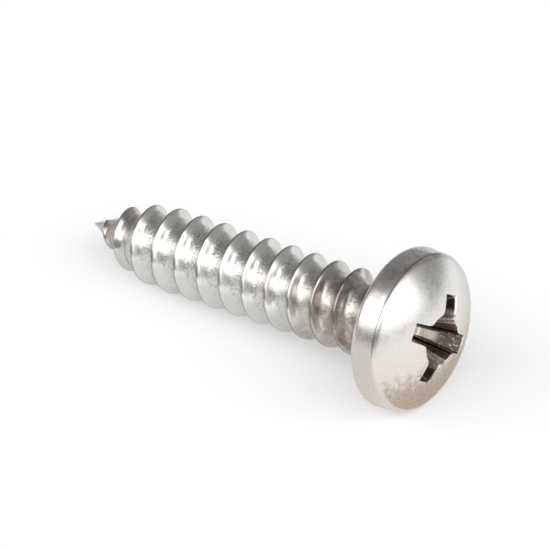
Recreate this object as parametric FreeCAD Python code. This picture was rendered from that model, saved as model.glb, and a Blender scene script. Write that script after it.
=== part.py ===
# Pan-head tapping screw with a cross recess, lying on its head's rim and its thread.
# Millimetres, +Z up, head towards +X, point towards -X.
# The screw is drawn upright first, its point at height 0 and its head on top.
import math
import os

import FreeCAD
import Part

os.makedirs("parts", exist_ok=True)

# Thread
thread_length = 19.05
thread_crest_dia = 4.2
thread_root_dia = 3.02
thread_pitch = 1.411
crest_land = 0.08
flank_angle = 30.0
thread_start_angle = 202.0
fade_in_turns = 1.3
fade_out_turns = 0.6
faded_flank = 0.08

# Point
point_crest_length = 5.2
point_root_length = 3.3
point_flat_dia = 0.08

# Neck between the thread and the head
neck_dia = 3.5
underhead_fillet = 0.45
end_clearance = 0.05

# Head
head_dia = 8.1
head_height = 2.74
head_edge_round = 0.35
crown_edge_dia = 7.95
crown_edge_height = 1.38

# Cross recess
recess_span = 4.4
recess_wing_width = 0.92
recess_depth = 2.0
recess_end_angle = 26.5
recess_side_draft = 6.5
recess_core_dia = 2.4
recess_core_floor_dia = 1.2
recess_point_depth = 0.35
recess_angle = 52.0
recess_lip = 0.5

# Fineness
samples_per_turn = 10
round_steps = 4
rest_steps = 360

FULL_TURN = 2.0 * math.pi
crest_r = thread_crest_dia / 2.0
root_r = thread_root_dia / 2.0
neck_r = neck_dia / 2.0
tip_r = point_flat_dia / 2.0
half_land = crest_land / 2.0
flank_slope = math.tan(math.radians(flank_angle))
head_r = head_dia / 2.0
start_angle = math.radians(thread_start_angle)

neck_top = thread_length - underhead_fillet
tooth_start = half_land + faded_flank + end_clearance
tooth_end = neck_top - half_land - faded_flank - end_clearance
last_turn = FULL_TURN * (tooth_end - tooth_start) / thread_pitch
neck_start = tooth_end - thread_pitch + half_land + faded_flank


def vec(x, y, z):
    return FreeCAD.Vector(x, y, z)


def polar(radius, angle, height):
    return vec(radius * math.cos(angle), radius * math.sin(angle), height)


def root_radius(height):
    if height < point_root_length:
        return tip_r + (root_r - tip_r) * height / point_root_length
    if height > neck_start:
        rise = (height - neck_start) / (neck_top - neck_start)
        return root_r + (neck_r - root_r) * rise
    return root_r


def crest_radius(height):
    if height >= point_crest_length:
        return crest_r
    reach = crest_r - tip_r
    arc_r = (point_crest_length ** 2 + reach ** 2) / (2.0 * reach)
    back = point_crest_length - height
    return math.sqrt(arc_r ** 2 - back ** 2) - arc_r + crest_r


def ease(share):
    share = max(0.0, min(1.0, share))
    return share * share * (3.0 - 2.0 * share)


def tooth(turned):
    """Four corners of the tooth, as radius and height, after turning by an angle."""
    middle = tooth_start + thread_pitch * turned / FULL_TURN
    grown = ease(turned / (fade_in_turns * FULL_TURN))
    grown *= ease((last_turn - turned) / (fade_out_turns * FULL_TURN))
    rise = (crest_radius(middle) - root_radius(middle)) * grown
    flank = rise * flank_slope + faded_flank * (1.0 - grown)
    low = middle - half_land
    high = middle + half_land
    return [
        (root_radius(low - flank), low - flank),
        (root_radius(low) + rise, low),
        (root_radius(high) + rise, high),
        (root_radius(high + flank), high + flank),
    ]


def smooth_curve(place, begin, end):
    """Spline through the points that place() gives between two angles."""
    count = max(4, math.ceil((end - begin) / FULL_TURN * samples_per_turn))
    steps = [begin + (end - begin) * i / count for i in range(count + 1)]
    points = [place(turned) for turned in steps]
    nudge = 1e-5
    first = (place(begin + nudge) - points[0]) * (1.0 / nudge)
    last = (points[-1] - place(end - nudge)) * (1.0 / nudge)
    curve = Part.BSplineCurve()
    curve.interpolate(
        Points=points, Parameters=steps, InitialTangent=first, FinalTangent=last, Scale=False
    )
    return curve


def rail(corner, begin, end):
    """Curve that one corner of the tooth draws between two angles."""

    def place(turned):
        radius, height = tooth(turned)[corner]
        return polar(radius, start_angle + turned, height)

    return smooth_curve(place, begin, end)


def ring(radius, height, begin, end):
    def place(turned):
        return polar(radius, start_angle + turned, height)

    return smooth_curve(place, begin, end)


def arc(radius, height, begin, end):
    circle = Part.Circle(vec(0, 0, height), vec(0, 0, 1), radius)
    return circle.toShape(start_angle + begin, start_angle + end)


def band(curve_a, curve_b):
    """Ruled face between two curves with the same knots."""
    poles = [[a, b] for a, b in zip(curve_a.getPoles(), curve_b.getPoles())]
    surface = Part.BSplineSurface()
    surface.buildFromPolesMultsKnots(
        poles,
        curve_a.getMultiplicities(),
        [2, 2],
        curve_a.getKnots(),
        [0.0, 1.0],
        False,
        False,
        curve_a.Degree,
        1,
    )
    return surface.toShape()


def winding_marks():
    """Angles at which the first or the last tooth ends, turn after turn."""
    marks = []
    turned = 0.0
    while turned < last_turn - 1e-6:
        marks.append(turned)
        turned += FULL_TURN
    turned = last_turn
    while turned > 1e-6:
        marks.append(turned)
        turned -= FULL_TURN
    return sorted(marks)


def wind_thread():
    """Faces of the threaded shank, open where the neck meets the head."""
    marks = winding_marks()
    faces = []
    tip_edges = []
    for begin, end in zip(marks[:-1], marks[1:]):
        rails = [rail(corner, begin, end) for corner in range(4)]
        faces += [band(low, high) for low, high in zip(rails[:-1], rails[1:])]
        if end <= last_turn - FULL_TURN + 1e-6:
            next_root = rail(0, begin + FULL_TURN, end + FULL_TURN)
            faces.append(band(rails[3], next_root))
        else:
            neck_edge = arc(neck_r, neck_top, begin, end)
            faces.append(Part.makeRuledSurface(rails[3].toShape(), neck_edge))
        if end <= FULL_TURN + 1e-6:
            tip_edge = ring(tip_r, 0.0, begin, end)
            tip_edges.append(tip_edge.toShape())
            faces.append(band(tip_edge, rails[0]))
    faces.append(Part.Face(Part.Wire(tip_edges)))
    return faces


def corner_points(middle_r, middle_height, radius, from_angle, to_angle):
    """Points round a quarter circle in the half section, for short conical steps."""
    points = []
    for i in range(round_steps + 1):
        angle = math.radians(from_angle + (to_angle - from_angle) * i / round_steps)
        points.append(
            vec(middle_r + radius * math.cos(angle), 0, middle_height + radius * math.sin(angle))
        )
    return points


def crown_radius():
    rise = head_height - crown_edge_height
    edge_r = crown_edge_dia / 2.0
    return (rise ** 2 + edge_r ** 2) / (2.0 * rise)


def crown_drop(radius):
    """How far the crown lies below its middle at a radius."""
    return crown_radius() - math.sqrt(crown_radius() ** 2 - radius ** 2)


recess_rim = thread_length + head_height - crown_drop(recess_span / 2.0)


def head_profile():
    """Half section of the head from the neck's top to the crown's middle."""
    fillet_r = neck_r + underhead_fillet
    fillet = corner_points(fillet_r, neck_top, underhead_fillet, 180, 90)
    round_middle = head_r - head_edge_round
    edge = corner_points(round_middle, thread_length + head_edge_round, head_edge_round, -90, 0)
    crown_edge = vec(crown_edge_dia / 2.0, 0, thread_length + crown_edge_height)
    middle_r = crown_edge_dia / 4.0
    crown = vec(middle_r, 0, thread_length + head_height - crown_drop(middle_r))
    top = vec(0, 0, thread_length + head_height)
    corners = fillet + edge + [crown_edge]
    lines = [Part.makeLine(low, high) for low, high in zip(corners[:-1], corners[1:])]
    return lines + [Part.Arc(crown_edge, crown, top).toShape()]


def make_head():
    """Head as a closed solid that ends in a disc at the neck's top."""
    profile = head_profile()
    axis_top = vec(0, 0, thread_length + head_height)
    axis_low = vec(0, 0, neck_top)
    closing = [Part.makeLine(axis_top, axis_low), Part.makeLine(axis_low, vec(neck_r, 0, neck_top))]
    section = Part.Face(Part.Wire(profile + closing))
    return section.revolve(vec(0, 0, 0), vec(0, 0, 1), 360)


def wing_outline(above_rim):
    """Outline of two opposite wings at a height above the recess's rim."""
    end_slope = math.tan(math.radians(recess_end_angle))
    side_slope = math.tan(math.radians(recess_side_draft))
    half_span = recess_span / 2.0 + end_slope * above_rim
    half_width = recess_wing_width / 2.0 + side_slope * above_rim
    height = recess_rim + above_rim
    corners = [
        vec(half_span, half_width, height),
        vec(-half_span, half_width, height),
        vec(-half_span, -half_width, height),
        vec(half_span, -half_width, height),
    ]
    return Part.makePolygon(corners + corners[:1])


def recess_tool():
    """Two crossed wings on a tapered core, with a blunt cone at the bottom."""
    top = thread_length + head_height - recess_rim + recess_lip
    wing = Part.makeLoft([wing_outline(-recess_depth), wing_outline(top)], True, True)
    cross = wing.copy()
    cross.rotate(vec(0, 0, 0), vec(0, 0, 1), 90)
    floor = vec(0, 0, recess_rim - recess_depth)
    floor_r = recess_core_floor_dia / 2.0
    widening = (recess_core_dia / 2.0 - floor_r) / recess_depth
    core_height = recess_depth + top
    core = Part.makeCone(floor_r, floor_r + widening * core_height, core_height, floor)
    point = Part.makeCone(0, floor_r, recess_point_depth, floor - vec(0, 0, recess_point_depth))
    tool = wing.fuse([cross, core, point])
    tool.rotate(vec(0, 0, 0), vec(0, 0, 1), recess_angle)
    return tool


def make_screw():
    head = make_head().cut(recess_tool())
    faces = wind_thread()
    faces += [face for face in head.Faces if face.BoundBox.ZMax > neck_top + 1e-4]
    skin = Part.Compound(faces)
    skin.sewShape()
    return Part.Solid(skin.Shells[0])


def resting_tilt():
    """Slope at which the head's widest circle and the lowest thread crest touch the floor."""
    rim_height = thread_length + head_edge_round
    slopes = []
    for i in range(math.ceil(last_turn / FULL_TURN * rest_steps)):
        turned = FULL_TURN * i / rest_steps
        for radius, height in tooth(turned)[1:3]:
            below = radius * math.cos(start_angle + turned - math.pi)
            slopes.append(math.atan2(head_r - below, rim_height - height))
    return min(slopes)


# Upright, angle 0 points away from the floor once the screw lies down
tilt = resting_tilt()
screw = make_screw()
screw.rotate(vec(0, 0, 0), vec(0, 0, 1), 180)
screw.rotate(vec(0, 0, 0), vec(0, 1, 0), 90.0 - math.degrees(tilt))
box = screw.optimalBoundingBox(False, False)
screw.translate(vec(-box.Center.x, -box.Center.y, -box.ZMin))
screw.exportStep("parts/screw.step")
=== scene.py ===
# Pan-head tapping screw with a cross recess, lying on its head's rim and its thread.
# Metres, +Z up, head towards +X, point towards -X.
# The screw is shaped upright in millimetres, point down, and then laid where the frame has it.
import math

import bmesh
import bpy
from mathutils import Matrix, Vector


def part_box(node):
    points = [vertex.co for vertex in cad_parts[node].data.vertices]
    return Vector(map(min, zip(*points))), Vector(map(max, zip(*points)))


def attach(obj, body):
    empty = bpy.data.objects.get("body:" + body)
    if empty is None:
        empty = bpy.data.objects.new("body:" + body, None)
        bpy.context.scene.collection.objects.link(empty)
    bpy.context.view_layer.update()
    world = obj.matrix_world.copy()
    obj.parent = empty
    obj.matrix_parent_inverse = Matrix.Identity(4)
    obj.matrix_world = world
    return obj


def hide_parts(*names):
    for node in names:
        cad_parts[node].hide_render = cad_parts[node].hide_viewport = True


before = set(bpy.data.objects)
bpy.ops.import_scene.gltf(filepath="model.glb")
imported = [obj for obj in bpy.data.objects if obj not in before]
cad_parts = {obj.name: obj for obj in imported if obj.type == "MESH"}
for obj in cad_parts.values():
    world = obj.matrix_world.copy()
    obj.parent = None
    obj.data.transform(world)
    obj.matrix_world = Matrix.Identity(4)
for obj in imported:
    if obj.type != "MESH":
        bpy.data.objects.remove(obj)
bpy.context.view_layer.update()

MM = 0.001
FULL_TURN = 2.0 * math.pi

# Thread
THREAD_LENGTH = 19.05
CREST_R = 2.1
ROOT_R = 1.51
PITCH = 1.411
HALF_LAND = 0.04
FLANK_SLOPE = math.tan(math.radians(30.0))
START_ANGLE = math.radians(202.0)
FADE_IN_TURNS = 1.3
FADE_OUT_TURNS = 0.6
FADED_FLANK = 0.08
FLANK_CURVE = 1.08
CREST_ROUND = 0.05
ROOT_ROUND = 0.32

# Largest rounds that a low tooth may have, as shares of its rise
LOW_CREST_ROUND = 0.5
LOW_ROOT_ROUND = 0.8

# Point
POINT_CREST_LENGTH = 5.2
POINT_ROOT_LENGTH = 3.3
TIP_R = 0.04

# Neck
NECK_R = 1.75
UNDERHEAD_FILLET = 0.45
END_CLEARANCE = 0.05

# Head
HEAD_R = 4.05
HEAD_HEIGHT = 2.74
HEAD_EDGE_ROUND = 0.35
CROWN_EDGE_R = 3.975
CROWN_EDGE_HEIGHT = 1.38
CROWN_EDGE_ROUND = 0.16

# Cross recess
RECESS_SPAN = 4.4
RECESS_WING_WIDTH = 0.92
RECESS_DEPTH = 2.0
RECESS_END_SLOPE = math.tan(math.radians(26.5))
RECESS_SIDE_SLOPE = math.tan(math.radians(6.5))
RECESS_CORE_R = 1.2
RECESS_CORE_FLOOR_R = 0.6
RECESS_POINT_DEPTH = 0.35
RECESS_ANGLE = math.radians(52.0)
RECESS_LIP_ROUND = 0.06
RECESS_LIP_ROLLED = 0.14
RECESS_FOOT_ROUND = 0.07
RECESS_WING_ROUND = 0.12
RECESS_CORNER_ROUND = 0.35

# Where the driver has rolled the lip over: middles, and cosines of the angle off them
ROLLED_LIP_ANGLES = (math.radians(-66.0), math.radians(166.0))
ROLLED_LIP_START = 0.914
ROLLED_LIP_WIDTH = 0.047

# Painted shade and pits on the recess's walls, by radius from the axis
FAR_END_SHADE_START = 1.3
FAR_END_SHADE_WIDTH = 0.4
UPRIGHT_END_SHADE_START = 1.5
UPRIGHT_END_SHADE_WIDTH = 0.1
PITS_START = 1.6
PITS_WIDTH = 0.25

# Painted shade on the sides of the level wings: how far they reach round, and distance from a
# wing's middle
LEVEL_WING_REACH = math.radians(46.0)
SIDE_SHADE_START = 0.18
SIDE_SHADE_WIDTH = 0.08

# Painted shade and pits in the wing that points away, by the cosine of the angle off its middle
AWAY_SHADE_WIDTH = 0.25
AWAY_PITS_START = 0.85
AWAY_PITS_WIDTH = 0.1

# How the screw lies: the axis rises from the point to the head
AXIS_RISE = math.radians(7.5392)

# Fineness of the skin
SHANK_SECTORS = 120
SPARE_TURNS = 2
LAND_LANES = 2
FLANK_LANES = 6
ROOT_LANES = 6
HEAD_CUTS = 2
FILLET_RINGS = 6
UNDERSIDE_RINGS = 5
HEAD_EDGE_RINGS = 9
HEAD_SIDE_RINGS = 4
CROWN_EDGE_RINGS = 6
CROWN_RINGS = 20
LIP_RINGS = 5
WALL_RINGS = 12
FOOT_RINGS = 4
FLOOR_RINGS = 6
LIP_STEPS = 20

# Smallest lengths and shares that count, and gaps that are closed
LEAST_RISE = 1e-6
LEAST_SINE = 0.01
LEVEL_GAP = 1e-4
SPIN_GAP = 0.001
END_GAP = 0.0005

# Marks on the skin that the material reads, and which rings are the seam and the crown's last
MARKS = ("tooth", "head", "seam", "crown", "hollow", "pitted")
SEAM_RINGS_BACK = 5
LIP_SHARE_ON_CROWN = 0.9

# Wear and painted reflections by height above the table or by place along it: none at the first,
# all of it at the second
SEAM_HEIGHTS = (4.4, 5.6)
WARM_REFLECTION_HEIGHTS = (6.2, 3.6)
STAIN_HEIGHTS = (3.8, 2.3)
SIDE_DARK_REFLECTION_HEIGHTS = (6.2, 7.4)
HEAD_DARK_REFLECTION_ALONG = (1.0, 5.5)
POINT_GRIME_ALONG = (-7.4, -8.6)

# Wear and the painted dark line on the crests by the thread's height as a share: none at the first,
# all of it at the second
ROOT_SHARES = (0.4, 0.04)
CREST_SHARES = (0.955, 0.99)

# Wear, painted dark reflections and gaps in the painted shade by the level of a pattern: the least
# of it at the first, the most at the second
STAIN_SPECKS = (0.62, 0.48)
REFLECTION_AND_GRIME_PATCHES = (0.4, 0.6)
ROOT_SPECKS = (0.45, 0.65)
SIDE_BLOTCHES = (0.4, 0.62)
PIT_SPECKS = (0.55, 0.66)
MOTTLING = (0.35, 0.65)

# How far the blotches shift the stain's edge
STAIN_RAGGEDNESS = 4.5

# How much of each kind of wear, painted shade and painted dark reflection there is at least and at
# most
LEAST_STAIN = 0.6
LEAST_REFLECTION_AND_GRIME = 0.35
ROOT_GRIME = 0.55
HEAD_DARK_REFLECTION = 0.9
POINT_GRIME = 0.65
SIDE_DARK_REFLECTION = 0.5
RECESS_SHADE = 0.96
UPRIGHT_END_SHADE = 0.7
PIT_SHINE = 0.7
CREST_DARK_LINE = 0.5
SEAM_DARK_LINE = 0.8

# Metal colours
STEEL = (0.69, 0.68, 0.66, 1.0)
# Painted light: the thread's steel is a lighter copy of the head's
LIT_THREAD_STEEL = (0.76, 0.755, 0.72, 1.0)
# Painted reflection: a warm tint low on the head for the pale table it mirrors
WARM_REFLECTION_TINT = (0.67, 0.63, 0.58, 1.0)
STAIN = (0.46, 0.36, 0.285, 1.0)
# Brown for grime in the roots and by the point, and for painted dark reflections by the head and on
# the head's side
GRIME_AND_DARK_REFLECTION = (0.34, 0.29, 0.265, 1.0)
# Painted shade: dark colour for the recess's shade and for the dark lines on the crests and round
# the crown's edge
SHADE_COLOUR = (0.1, 0.07, 0.058, 1.0)

# Roughness of the steel, and what each finish adds to it
STEEL_ROUGHNESS = (0.17, 0.23)
SKIN_ROUGHNESS = (0.04, 0.11)
PITTED_ROUGHNESS = 0.2
STAIN_ROUGHNESS = 0.12
ROOT_ROUGHNESS = 0.04

# Relief in the finish: its height and strength
PIT_RELIEF = (0.05 * MM, 0.6)
STAIN_RELIEF = (0.05 * MM, 0.5)
GRAIN_RELIEF = (0.006 * MM, 0.5)

# Table: light added where the camera sees it, and light in what the metal mirrors and where
TABLE_HALF_SIZE = 2.0
TABLE_COLOUR = (0.757, 0.762, 0.77, 1.0)
TABLE_ROUGHNESS = 0.9
TABLE_SEEN_LIGHT = 0.285
TABLE_MIRRORED_LIGHT = (0.15, 0.45)
TABLE_MIRRORED_PLACES = (8.0 * MM, 16.0 * MM)

# Camera, and the middle of the bearing face with its place in the camera's own axes
CAMERA_AZIMUTH = math.radians(37.05)
CAMERA_ELEVATION = math.radians(36.91)
CAMERA_ROLL = math.radians(0.7)
LENS = 360.0
SENSOR = 36.0
NEAREST_SEEN = 0.01
FACE_MIDDLE = Vector((8.066, 0.0, 3.969))
FACE_MIDDLE_IN_VIEW = Vector((5.986, -2.44, -265.58))

# Light level of the room by height of the direction, on the camera's side and behind the screw
FRONT_LEVELS = [(0.0, 0.4), (0.22, 0.34), (0.4, 0.5), (0.9, 0.55), (1.0, 0.6)]
BACK_LEVELS = [
    (0.0, 0.46),
    (0.3, 0.42),
    (0.5, 0.43),
    (0.66, 0.34),
    (0.78, 0.26),
    (0.88, 0.28),
    (1.0, 0.6),
]
FRONT_MIDDLE = math.radians(-60.0)
FRONT_HALF_WIDTH = math.radians(96.0)

# White panels: azimuth of the middle and half width in degrees, lowest and highest height, level
PANELS = [
    (-60.0, 90.0, 0.44, 0.88, 3.0),
    (6.0, 27.0, 0.09, 0.6, 2.4),
    (-134.0, 22.0, 0.27, 0.6, 2.4),
]
PANEL_SIDE_SOFTNESS = math.radians(8.0)
PANEL_END_SOFTNESS = 0.05

NECK_TOP = THREAD_LENGTH - UNDERHEAD_FILLET
TOOTH_START = HALF_LAND + FADED_FLANK + END_CLEARANCE
TOOTH_END = NECK_TOP - HALF_LAND - FADED_FLANK - END_CLEARANCE
LAST_TURN = FULL_TURN * (TOOTH_END - TOOTH_START) / PITCH
NECK_START = TOOTH_END - PITCH + HALF_LAND + FADED_FLANK
HEAD_TOP = THREAD_LENGTH + HEAD_HEIGHT
CROWN_RISE = HEAD_HEIGHT - CROWN_EDGE_HEIGHT
CROWN_R = (CROWN_RISE ** 2 + CROWN_EDGE_R ** 2) / (2.0 * CROWN_RISE)
LANES = 2 * (LAND_LANES + FLANK_LANES) + ROOT_LANES


def crown_height(radius):
    return HEAD_TOP - CROWN_R + math.sqrt(CROWN_R ** 2 - radius ** 2)


RECESS_RIM = crown_height(RECESS_SPAN / 2.0)
RECESS_FLOOR = RECESS_RIM - RECESS_DEPTH


def between(low, high, share):
    return low + (high - low) * share


def ease(share):
    share = max(0.0, min(1.0, share))
    return share * share * (3.0 - 2.0 * share)


def rising(value, start, width):
    """Share that eases from 0 at a start to 1 a width further on."""
    return ease((value - start) / width)


def smooth_min(a, b, reach):
    """Smaller of two lengths, with the corner between them rounded over a reach."""
    near = max(reach - abs(a - b), 0.0) / reach
    return min(a, b) - near * near * reach / 4.0


def smooth_max(a, b, reach):
    return -smooth_min(-a, -b, reach)


def root_radius(height):
    if height < POINT_ROOT_LENGTH:
        return TIP_R + (ROOT_R - TIP_R) * height / POINT_ROOT_LENGTH
    if height > NECK_START:
        return between(ROOT_R, NECK_R, (height - NECK_START) / (NECK_TOP - NECK_START))
    return ROOT_R


def crest_radius(height):
    if height >= POINT_CREST_LENGTH:
        return CREST_R
    reach = CREST_R - TIP_R
    arc_r = (POINT_CREST_LENGTH ** 2 + reach ** 2) / (2.0 * reach)
    back = POINT_CREST_LENGTH - max(0.0, height)
    return math.sqrt(arc_r ** 2 - back ** 2) - arc_r + CREST_R


def tooth(turned):
    """Middle height, rise above the root and flank width of the tooth after an angle."""
    middle = TOOTH_START + PITCH * turned / FULL_TURN
    grown = ease(turned / (FADE_IN_TURNS * FULL_TURN))
    grown *= ease((LAST_TURN - turned) / (FADE_OUT_TURNS * FULL_TURN))
    rise = (crest_radius(middle) - root_radius(middle)) * grown
    flank = rise * FLANK_SLOPE + FADED_FLANK * (1.0 - grown)
    return middle, rise, flank


def relief(turned, height):
    """How far the tooth stands above the root at a height near its middle."""
    middle, rise, flank = tooth(turned)
    if rise < LEAST_RISE:
        return 0.0, 0.0
    out = abs(height - middle) - HALF_LAND
    slope = rise - rise * math.copysign(abs(out / flank) ** FLANK_CURVE, out)
    stands = smooth_min(rise, slope, min(CREST_ROUND, LOW_CREST_ROUND * rise))
    stands = smooth_max(0.0, stands, min(ROOT_ROUND, LOW_ROOT_ROUND * rise))
    return stands, stands / rise


def lane_height(turned, lane):
    """Height of a lane, counted from one tooth's middle up to the next tooth's middle."""
    low_middle, _, low_flank = tooth(turned)
    high_middle, _, high_flank = tooth(turned + FULL_TURN)
    stretches = [
        (LAND_LANES, low_middle, low_middle + HALF_LAND),
        (FLANK_LANES, low_middle + HALF_LAND, low_middle + HALF_LAND + low_flank),
        (ROOT_LANES, low_middle + HALF_LAND + low_flank, high_middle - HALF_LAND - high_flank),
        (FLANK_LANES, high_middle - HALF_LAND - high_flank, high_middle - HALF_LAND),
        (LAND_LANES, high_middle - HALF_LAND, high_middle),
    ]
    for lanes, low, high in stretches:
        if lane <= lanes:
            return between(low, high, 0.5 - 0.5 * math.cos(math.pi * lane / lanes))
        lane -= lanes
    return high_middle


def shape_thread(bm, tooth_layer):
    """Wind a straight line of points up the shank and press the thread into the skin.

    The spare turns below the point and above the neck are pressed flat on the two ends.
    """
    turns = math.ceil(LAST_TURN / FULL_TURN) + 2 * SPARE_TURNS
    low = bm.verts.new((ROOT_R, 0.0, -SPARE_TURNS * PITCH))
    high = bm.verts.new((ROOT_R, 0.0, (turns - SPARE_TURNS) * PITCH))
    line = bm.edges.new((low, high))
    bmesh.ops.subdivide_edges(bm, edges=[line], cuts=turns * LANES - 1)
    bmesh.ops.spin(
        bm,
        geom=bm.verts[:] + bm.edges[:],
        cent=(0.0, 0.0, 0.0),
        axis=(0.0, 0.0, 1.0),
        dvec=(0.0, 0.0, PITCH / SHANK_SECTORS),
        angle=FULL_TURN,
        steps=SHANK_SECTORS,
    )
    bmesh.ops.remove_doubles(bm, verts=bm.verts[:], dist=SPIN_GAP)
    for vert in bm.verts:
        angle = math.atan2(vert.co.y, vert.co.x) % FULL_TURN
        row = round((vert.co.z / PITCH - angle / FULL_TURN) * LANES)
        turn, lane = divmod(row, LANES)
        turned = turn * FULL_TURN + angle
        height = lane_height(turned, lane)
        if lane > LANES / 2:
            stands, share = relief(turned + FULL_TURN, height)
        else:
            stands, share = relief(turned, height)
        height = max(0.0, min(NECK_TOP, height))
        radius = root_radius(height) + stands
        vert[tooth_layer] = share
        if height in (0.0, NECK_TOP):
            radius = root_radius(height)
        place_at(vert, radius, START_ANGLE + angle, height)
    bmesh.ops.remove_doubles(bm, verts=bm.verts[:], dist=END_GAP)


def place_at(vert, radius, angle, height):
    vert.co = (radius * math.cos(angle), radius * math.sin(angle), height)


def rim_edges(bm, height):
    """Edges of the open rim that lies at a height."""
    return [
        edge
        for edge in bm.edges
        if edge.is_boundary and all(abs(vert.co.z - height) < LEVEL_GAP for vert in edge.verts)
    ]


def draw_ring(bm, rim, place):
    """Extrude the open rim and put each new point where place() says for its angle."""
    grown = bmesh.ops.extrude_edge_only(bm, edges=rim)["geom"]
    verts = {part for part in grown if isinstance(part, bmesh.types.BMVert)}
    for vert in verts:
        angle = math.atan2(vert.co.y, vert.co.x)
        radius, height = place(angle)
        place_at(vert, radius, angle, height)
    return [
        part
        for part in grown
        if isinstance(part, bmesh.types.BMEdge) and all(vert in verts for vert in part.verts)
    ]


def mark(rim, layer, share):
    """Write a share on the points of a rim, from 0 to 1 for each angle."""
    for vert in {vert for edge in rim for vert in edge.verts}:
        vert[layer] = share(math.atan2(vert.co.y, vert.co.x))


def recess_reach(angle, height):
    """How far the recess reaches from the axis at an angle and a height."""
    quarter = math.pi / 2.0
    off = (angle - RECESS_ANGLE + quarter / 2.0) % quarter - quarter / 2.0
    half_span = RECESS_SPAN / 2.0 - RECESS_END_SLOPE * (RECESS_RIM - height)
    half_width = RECESS_WING_WIDTH / 2.0 - RECESS_SIDE_SLOPE * (RECESS_RIM - height)
    side = half_width / max(abs(math.sin(off)), LEAST_SINE)
    wing = smooth_min(half_span / math.cos(off), side, RECESS_WING_ROUND)
    up = (height - RECESS_FLOOR) / RECESS_DEPTH
    core = between(RECESS_CORE_FLOOR_R, RECESS_CORE_R, up)
    return smooth_max(wing, core, RECESS_CORNER_ROUND)


def recess_lip(angle):
    """Radius and height of the sharp lip, before its round."""
    height = RECESS_RIM
    for _ in range(LIP_STEPS):
        radius = recess_reach(angle, height)
        height = crown_height(radius)
    return radius, height


def facing_away(angle):
    """1 in the middle of the wing that points away from the camera, and -1 opposite it."""
    return -math.cos(angle - RECESS_ANGLE)


def wall_shade(angle, radius):
    """Share of painted shade on the recess's wall.

    The two level wings are painted dark along their sides, and the one that points away is painted
    dark at its end as well. The upper and the lower wing are painted dark at their ends.
    """
    across = angle - RECESS_ANGLE
    if abs(math.cos(across)) > math.cos(LEVEL_WING_REACH):
        sideways = abs(radius * math.sin(across))
        far_end = rising(radius, FAR_END_SHADE_START, FAR_END_SHADE_WIDTH)
        far_end *= rising(facing_away(angle), 0.0, AWAY_SHADE_WIDTH)
        return between(far_end, 1.0, rising(sideways, SIDE_SHADE_START, SIDE_SHADE_WIDTH))
    return UPRIGHT_END_SHADE * rising(radius, UPRIGHT_END_SHADE_START, UPRIGHT_END_SHADE_WIDTH)


def wall_pits(angle, radius):
    """Share of pitting, which lies on the end wall of the wing that points away."""
    away = rising(facing_away(angle), AWAY_PITS_START, AWAY_PITS_WIDTH)
    return away * rising(radius, PITS_START, PITS_WIDTH)


def lip_round(angle):
    """Reach of the lip's round, wider where the driver has rolled it over."""
    near = max(math.cos(angle - middle) for middle in ROLLED_LIP_ANGLES)
    rolled = rising(near, ROLLED_LIP_START, ROLLED_LIP_WIDTH)
    return between(RECESS_LIP_ROUND, RECESS_LIP_ROLLED, rolled)


def on_line(start, end, share):
    """Point between two others, as radius and height."""
    return between(start[0], end[0], share), between(start[1], end[1], share)


def corner_round(start, corner, end, share):
    """Point of a round that leaves a corner out, as radius and height."""
    return on_line(on_line(start, corner, share), on_line(corner, end, share), share)


def arc_point(middle, radius, degrees):
    angle = math.radians(degrees)
    return middle[0] + radius * math.cos(angle), middle[1] + radius * math.sin(angle)


def head_rings():
    """Points of the head's half section, from the neck to the crown's edge."""
    fillet_middle = (NECK_R + UNDERHEAD_FILLET, NECK_TOP)
    points = []
    for i in range(1, FILLET_RINGS + 1):
        points.append(arc_point(fillet_middle, UNDERHEAD_FILLET, 180.0 - 90.0 * i / FILLET_RINGS))
    edge_middle = (HEAD_R - HEAD_EDGE_ROUND, THREAD_LENGTH + HEAD_EDGE_ROUND)
    for i in range(1, UNDERSIDE_RINGS + 1):
        radius = between(fillet_middle[0], edge_middle[0], i / UNDERSIDE_RINGS)
        points.append((radius, THREAD_LENGTH))
    for i in range(1, HEAD_EDGE_RINGS + 1):
        points.append(arc_point(edge_middle, HEAD_EDGE_ROUND, 90.0 * i / HEAD_EDGE_RINGS - 90.0))
    corner = (CROWN_EDGE_R, THREAD_LENGTH + CROWN_EDGE_HEIGHT)
    side = (HEAD_R, edge_middle[1])
    back = CROWN_EDGE_ROUND / (corner[1] - side[1])
    start = on_line(corner, side, back)
    for i in range(1, HEAD_SIDE_RINGS):
        points.append(on_line(side, start, i / HEAD_SIDE_RINGS))
    inner = CROWN_EDGE_R - CROWN_EDGE_ROUND
    end = (inner, crown_height(inner))
    for i in range(CROWN_EDGE_RINGS + 1):
        points.append(corner_round(start, corner, end, i / CROWN_EDGE_RINGS))
    return points


def crown_place(angle, share):
    """Radius and height on the crown, from its edge in to the recess's lip."""
    lip_radius, _ = recess_lip(angle)
    radius = between(CROWN_EDGE_R - CROWN_EDGE_ROUND, lip_radius + lip_round(angle), share)
    return radius, crown_height(radius)


def lip_place(angle, share):
    """Radius and height on the lip's round."""
    lip = recess_lip(angle)
    low = lip[1] - lip_round(angle)
    wall = (recess_reach(angle, low), low)
    return corner_round(crown_place(angle, 1.0), lip, wall, share)


def wall_place(angle, share):
    """Radius and height on the recess's wall, from the lip down to the foot."""
    low = recess_lip(angle)[1] - lip_round(angle)
    height = between(low, RECESS_FLOOR + RECESS_FOOT_ROUND, share)
    return recess_reach(angle, height), height


def floor_point(radius):
    """Radius and height on the recess's floor, which sinks to a blunt point."""
    drop = max(0.0, 1.0 - radius / RECESS_CORE_FLOOR_R)
    return radius, RECESS_FLOOR - RECESS_POINT_DEPTH * drop


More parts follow.
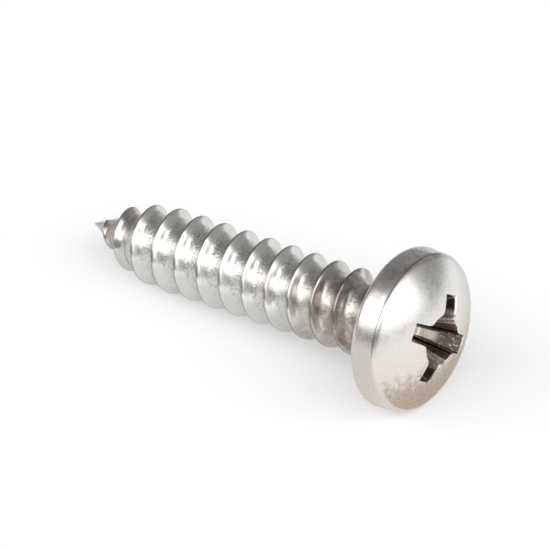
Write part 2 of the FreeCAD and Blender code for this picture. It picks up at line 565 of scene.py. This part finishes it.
def foot_place(angle, share):
    """Radius and height on the round between the recess's wall and its floor."""
    corner = (recess_reach(angle, RECESS_FLOOR), RECESS_FLOOR)
    floor = floor_point(corner[0] - RECESS_FOOT_ROUND)
    return corner_round(wall_place(angle, 1.0), corner, floor, share)


def floor_place(angle, share):
    """Radius and height on the floor, from its foot in to the axis."""
    return floor_point(foot_place(angle, 1.0)[0] * (1.0 - share))


def recess_rings():
    """Rings from the crown's edge to the recess's floor, each as its stretch and share of it."""
    stretches = [
        (crown_place, CROWN_RINGS),
        (lip_place, LIP_RINGS),
        (wall_place, WALL_RINGS),
        (foot_place, FOOT_RINGS),
        (floor_place, FLOOR_RINGS),
    ]
    rings = [(place, i / count) for place, count in stretches for i in range(1, count + 1)]
    return rings[:-1]


def shape_head(bm, layers):
    """Draw the head on from the neck: underside, edge, crown, lip and recess."""
    rim = rim_edges(bm, NECK_TOP)
    bmesh.ops.subdivide_edges(bm, edges=rim, cuts=HEAD_CUTS)
    rim = rim_edges(bm, NECK_TOP)
    for vert in {vert for edge in rim for vert in edge.verts}:
        place_at(vert, NECK_R, math.atan2(vert.co.y, vert.co.x), NECK_TOP)
        vert[layers["head"]] = 1.0

    profile = head_rings()
    seam_ring = len(profile) - SEAM_RINGS_BACK
    for ring, (radius, height) in enumerate(profile):
        rim = draw_ring(bm, rim, lambda angle: (radius, height))
        mark(rim, layers["seam"], lambda angle: 1.0 if ring == seam_ring else 0.0)

    for place, share in recess_rings():
        rim = draw_ring(bm, rim, lambda angle: place(angle, share))
        on_crown = place is crown_place or (place is lip_place and share < LIP_SHARE_ON_CROWN)
        mark(rim, layers["crown"], lambda angle: 1.0 if on_crown else 0.0)
        if not on_crown:
            # The recess's wall takes its share of painted shade
            mark(rim, layers["hollow"], lambda angle: wall_shade(angle, place(angle, share)[0]))
            mark(rim, layers["pitted"], lambda angle: wall_pits(angle, place(angle, share)[0]))
    bmesh.ops.contextual_create(bm, geom=rim)


def make_screw():
    bm = bmesh.new()
    layers = {name: bm.verts.layers.float.new(name) for name in MARKS}
    shape_thread(bm, layers["tooth"])
    bmesh.ops.contextual_create(bm, geom=rim_edges(bm, 0.0))
    shape_head(bm, layers)
    bmesh.ops.recalc_face_normals(bm, faces=bm.faces[:])
    laid = Matrix.Rotation(math.pi / 2.0 - AXIS_RISE, 4, "Y") @ Matrix.Rotation(math.pi, 4, "Z")
    bmesh.ops.transform(bm, matrix=laid @ Matrix.Scale(MM, 4), verts=bm.verts[:])
    bmesh.ops.translate(bm, vec=way_to_frame(bm), verts=bm.verts[:])
    mesh = bpy.data.meshes.new("screw_skin")
    bm.to_mesh(mesh)
    bm.free()
    mesh.shade_smooth()
    piece = bpy.data.objects.new("screw_skin", mesh)
    bpy.context.scene.collection.objects.link(piece)
    return piece


def way_to_frame(bm):
    """Shift that brings the skin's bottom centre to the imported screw's bottom centre."""
    low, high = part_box("screw")
    target = Vector(((low.x + high.x) / 2.0, (low.y + high.y) / 2.0, low.z))
    sides = [[vert.co[axis] for vert in bm.verts] for axis in range(3)]
    own = Vector(
        (
            (min(sides[0]) + max(sides[0])) / 2.0,
            (min(sides[1]) + max(sides[1])) / 2.0,
            min(sides[2]),
        )
    )
    return target - own


class Nodes:
    """Short calls for the nodes used in the materials and the world."""

    def __init__(self, tree):
        self.tree = tree

    def feed(self, socket, value):
        if isinstance(value, bpy.types.NodeSocket):
            self.tree.links.new(value, socket)
        else:
            socket.default_value = value

    def node(self, kind, inputs, output, **settings):
        made = self.tree.nodes.new(kind)
        for name, value in settings.items():
            setattr(made, name, value)
        for name, value in inputs.items():
            self.feed(made.inputs[name], value)
        return made.outputs[output]

    def math(self, operation, *values):
        return self.node("ShaderNodeMath", dict(enumerate(values)), "Value", operation=operation)

    def add(self, first, second):
        return self.math("ADD", first, second)

    def rest(self, share):
        """What a share leaves of 1."""
        return self.math("SUBTRACT", 1.0, share)

    def larger(self, first, second):
        return self.math("MAXIMUM", first, second)

    def times(self, first, second):
        return self.math("MULTIPLY", first, second)

    def parts(self, vector):
        """The X, Y and Z of a vector."""
        made = self.tree.nodes.new("ShaderNodeSeparateXYZ")
        self.feed(made.inputs["Vector"], vector)
        return made.outputs

    def attribute(self, name):
        return self.node("ShaderNodeAttribute", {}, "Fac", attribute_name=name)

    def noise(self, place, scale, detail=2.0, roughness=0.5, distortion=0.0):
        inputs = {
            "Vector": place,
            "Scale": scale,
            "Detail": detail,
            "Roughness": roughness,
            "Distortion": distortion,
        }
        return self.node("ShaderNodeTexNoise", inputs, "Fac")

    def spread(self, value, low, high, to_low=0.0, to_high=1.0):
        inputs = {
            "Value": value,
            "From Min": low,
            "From Max": high,
            "To Min": to_low,
            "To Max": to_high,
        }
        return self.node("ShaderNodeMapRange", inputs, "Result", interpolation_type="SMOOTHSTEP")

    def ramp(self, value, levels):
        """Colour ramp of greys that turns a share into a level."""
        made = self.tree.nodes.new("ShaderNodeValToRGB")
        made.color_ramp.interpolation = "EASE"
        points = made.color_ramp.elements
        while len(points) < len(levels):
            points.new(0.5)
        for point, (place, level) in zip(points, levels):
            point.position = place
            point.color = (level, level, level, 1.0)
        self.feed(made.inputs["Fac"], value)
        return made.outputs["Color"]

    def blend(self, share, first, second):
        """Mix of two colours, with its sockets told by number because their names repeat."""
        made = self.tree.nodes.new("ShaderNodeMix")
        made.data_type = "RGBA"
        self.feed(made.inputs[0], share)
        self.feed(made.inputs[6], first)
        self.feed(made.inputs[7], second)
        return made.outputs[2]

    def bump(self, height, distance, strength, normal=None):
        inputs = {"Height": height, "Distance": distance, "Strength": strength}
        if normal is not None:
            inputs["Normal"] = normal
        return self.node("ShaderNodeBump", inputs, "Normal")


def steel_wear_and_painted_shade():
    """Stainless steel, smooth on the flanks, stained low on the head, grimy in the roots, with
    painted shade and reflections.
    """
    material = bpy.data.materials.new("stainless_steel_wear_and_painted_shade")
    material.use_nodes = True
    nodes = Nodes(material.node_tree)
    shader = material.node_tree.nodes["Principled BSDF"]
    coords = nodes.node("ShaderNodeTexCoord", {}, "Object")
    scaled = {0: coords, "Scale": 1.0 / MM}
    place = nodes.node("ShaderNodeVectorMath", scaled, "Vector", operation="SCALE")
    parts = nodes.parts(place)
    along = parts["X"]
    height = parts["Z"]
    tooth, head, seam, crown, hollow, pitted = [nodes.attribute(name) for name in MARKS]
    shank = nodes.rest(head)
    root = nodes.times(shank, nodes.spread(tooth, *ROOT_SHARES))
    crest = nodes.times(shank, nodes.spread(tooth, *CREST_SHARES))
    # Painted dark line round the crown's edge for the crease's dark reflection, fading lower down
    seam = nodes.times(seam, nodes.spread(height, *SEAM_HEIGHTS))
    skin = nodes.math("SUBTRACT", head, hollow)
    side = nodes.math("SUBTRACT", skin, crown)

    patches = nodes.noise(place, scale=1.1, detail=4.0, roughness=0.6, distortion=0.4)
    specks = nodes.noise(place, scale=7.5, detail=3.0, roughness=0.7)
    blotches = nodes.noise(place, scale=3.2, detail=5.0, roughness=0.65, distortion=0.6)
    grain = nodes.noise(place, scale=14.0, detail=2.0, roughness=0.6)

    # Painted warm reflection of the table, low on the head
    warm_reflection = nodes.times(skin, nodes.spread(height, *WARM_REFLECTION_HEIGHTS))
    ragged = nodes.times(nodes.math("SUBTRACT", blotches, 0.5), STAIN_RAGGEDNESS)
    stain = nodes.times(crown, nodes.spread(nodes.add(height, ragged), *STAIN_HEIGHTS))
    stain = nodes.times(stain, nodes.spread(specks, *STAIN_SPECKS, to_low=LEAST_STAIN))

    # Painted dark reflection of the head's underside on the turns next to it
    head_dark_reflection = nodes.times(shank, nodes.spread(along, *HEAD_DARK_REFLECTION_ALONG, to_high=HEAD_DARK_REFLECTION))
    by_point = nodes.times(shank, nodes.spread(along, *POINT_GRIME_ALONG, to_high=POINT_GRIME))
    # Patches that break up the painted reflection by the head and the grime by the point
    reflection_and_grime_patches = nodes.spread(patches, *REFLECTION_AND_GRIME_PATCHES, to_low=LEAST_REFLECTION_AND_GRIME)
    reflection_and_grime_by_ends = nodes.times(nodes.add(head_dark_reflection, by_point), reflection_and_grime_patches)
    in_roots = nodes.times(root, nodes.spread(specks, *ROOT_SPECKS, to_high=ROOT_GRIME))
    # Painted dark reflection, mottled, on the top of the head's side
    dark_reflection_on_side = nodes.times(side, nodes.spread(height, *SIDE_DARK_REFLECTION_HEIGHTS))
    dark_reflection_on_side = nodes.times(dark_reflection_on_side, nodes.spread(blotches, *SIDE_BLOTCHES, to_high=SIDE_DARK_REFLECTION))
    grime_and_dark_reflection = nodes.larger(nodes.larger(in_roots, reflection_and_grime_by_ends), dark_reflection_on_side)

    # Specks on the pitted end wall where the painted shade is left off
    shining = nodes.times(pitted, nodes.spread(specks, *PIT_SPECKS, to_high=PIT_SHINE))
    # Painted shade in the recess
    shade_in_recess = nodes.times(nodes.times(hollow, RECESS_SHADE), nodes.rest(shining))
    # Painted dark lines: dark reflections along the thread's crests and round the crown's edge
    painted_dark_lines = nodes.larger(nodes.times(crest, CREST_DARK_LINE), nodes.times(seam, SEAM_DARK_LINE))
    painted_shade = nodes.larger(shade_in_recess, painted_dark_lines)

    # The thread takes the lighter copy of the steel, painted light
    colour = nodes.blend(head, LIT_THREAD_STEEL, STEEL)
    colour = nodes.blend(warm_reflection, colour, WARM_REFLECTION_TINT)
    colour = nodes.blend(stain, colour, STAIN)
    colour = nodes.blend(grime_and_dark_reflection, colour, GRIME_AND_DARK_REFLECTION)
    # Painted shade and painted dark lines go on last
    colour = nodes.blend(painted_shade, colour, SHADE_COLOUR)
    nodes.feed(shader.inputs["Base Color"], colour)
    nodes.feed(shader.inputs["Metallic"], 1.0)

    rough = nodes.spread(patches, *MOTTLING, *STEEL_ROUGHNESS)
    mottled = nodes.spread(blotches, *MOTTLING, *SKIN_ROUGHNESS)
    rough = nodes.add(rough, nodes.times(skin, mottled))
    rough = nodes.add(rough, nodes.times(pitted, PITTED_ROUGHNESS))
    rough = nodes.add(rough, nodes.times(stain, STAIN_ROUGHNESS))
    rough = nodes.add(rough, nodes.times(root, ROOT_ROUGHNESS))
    nodes.feed(shader.inputs["Roughness"], rough)

    normal = nodes.bump(nodes.times(nodes.larger(root, pitted), specks), *PIT_RELIEF)
    normal = nodes.bump(nodes.times(stain, blotches), *STAIN_RELIEF, normal)
    normal = nodes.bump(nodes.times(skin, grain), *GRAIN_RELIEF, normal)
    nodes.feed(shader.inputs["Normal"], normal)
    return material


def make_floor():
    """Plain table under the screw."""
    mesh = bpy.data.meshes.new("floor")
    bm = bmesh.new()
    bmesh.ops.create_grid(bm, x_segments=1, y_segments=1, size=TABLE_HALF_SIZE)
    bm.to_mesh(mesh)
    bm.free()
    floor = bpy.data.objects.new("floor", mesh)
    bpy.context.scene.collection.objects.link(floor)
    mesh.materials.append(white_table())


def white_table():
    """White table that burns out where the camera sees it, and shines in the metal at the right."""
    material = bpy.data.materials.new("white_table")
    material.use_nodes = True
    nodes = Nodes(material.node_tree)
    shader = material.node_tree.nodes["Principled BSDF"]
    nodes.feed(shader.inputs["Base Color"], TABLE_COLOUR)
    nodes.feed(shader.inputs["Roughness"], TABLE_ROUGHNESS)
    coords = nodes.node("ShaderNodeTexCoord", {}, "Object")
    right = nodes.parts(coords)["X"]
    seen = nodes.node("ShaderNodeLightPath", {}, "Is Camera Ray")
    mirrored = nodes.node("ShaderNodeLightPath", {}, "Is Glossy Ray")
    shine = nodes.spread(right, *TABLE_MIRRORED_PLACES, *TABLE_MIRRORED_LIGHT)
    glow = nodes.add(nodes.times(seen, TABLE_SEEN_LIGHT), nodes.times(mirrored, shine))
    light = nodes.node("ShaderNodeEmission", {"Strength": glow}, "Emission")
    both = nodes.node("ShaderNodeAddShader", {0: shader.outputs["BSDF"], 1: light}, "Shader")
    nodes.feed(material.node_tree.nodes["Material Output"].inputs["Surface"], both)
    return material


def add_camera():
    """Camera far back with a long lens, placed by where it sees the middle of the bearing face."""
    right = Vector((math.cos(CAMERA_AZIMUTH), math.sin(CAMERA_AZIMUTH), 0.0))
    back = Vector(
        (
            math.sin(CAMERA_AZIMUTH) * math.cos(CAMERA_ELEVATION),
            -math.cos(CAMERA_AZIMUTH) * math.cos(CAMERA_ELEVATION),
            math.sin(CAMERA_ELEVATION),
        )
    )
    up = back.cross(right)
    turn = Matrix((right, up, back)).transposed() @ Matrix.Rotation(CAMERA_ROLL, 3, "Z")
    camera = bpy.data.objects.new("camera", bpy.data.cameras.new("camera"))
    camera.data.lens = LENS
    camera.data.sensor_width = SENSOR
    camera.data.clip_start = NEAREST_SEEN
    place = (FACE_MIDDLE - turn @ FACE_MIDDLE_IN_VIEW) * MM
    camera.matrix_world = Matrix.Translation(place) @ turn.to_4x4()
    bpy.context.scene.collection.objects.link(camera)
    bpy.context.scene.camera = camera


def light_world():
    """White panels round the camera's side, a darker room behind, and white where it is seen."""
    world = bpy.data.worlds.new("studio")
    bpy.context.scene.world = world
    world.use_nodes = True
    nodes = Nodes(world.node_tree)
    coords = nodes.node("ShaderNodeTexCoord", {}, "Generated")
    parts = nodes.parts(coords)
    height = parts["Z"]
    azimuth = nodes.math("ARCTAN2", parts["Y"], parts["X"])

    def within(middle, half_width):
        turned = nodes.math("WRAP", nodes.math("SUBTRACT", azimuth, middle), math.pi, -math.pi)
        outer = half_width + PANEL_SIDE_SOFTNESS
        inner = half_width - PANEL_SIDE_SOFTNESS
        return nodes.spread(nodes.math("ABSOLUTE", turned), outer, inner)

    front = within(FRONT_MIDDLE, FRONT_HALF_WIDTH)
    front_level = nodes.times(front, nodes.ramp(height, FRONT_LEVELS))
    back_level = nodes.times(nodes.rest(front), nodes.ramp(height, BACK_LEVELS))
    level = nodes.add(front_level, back_level)
    for middle, half_width, low, high, panel_level in PANELS:
        share = within(math.radians(middle), math.radians(half_width))
        above = nodes.spread(height, low - PANEL_END_SOFTNESS, low + PANEL_END_SOFTNESS)
        below = nodes.spread(height, high + PANEL_END_SOFTNESS, high - PANEL_END_SOFTNESS)
        share = nodes.times(nodes.times(share, above), below)
        level = nodes.larger(level, nodes.times(share, panel_level))

    room = nodes.node("ShaderNodeBackground", {"Strength": level}, "Background")
    white = nodes.node("ShaderNodeBackground", {"Color": (1.0, 1.0, 1.0, 1.0)}, "Background")
    seen = nodes.node("ShaderNodeLightPath", {}, "Is Camera Ray")
    shown = nodes.node("ShaderNodeMixShader", {0: seen, 1: room, 2: white}, "Shader")
    nodes.feed(world.node_tree.nodes["World Output"].inputs["Surface"], shown)


piece = make_screw()
piece.data.materials.append(steel_wear_and_painted_shade())
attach(piece, "root")
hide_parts("screw")
make_floor()
light_world()
add_camera()
bpy.context.scene.view_settings.view_transform = "Standard"
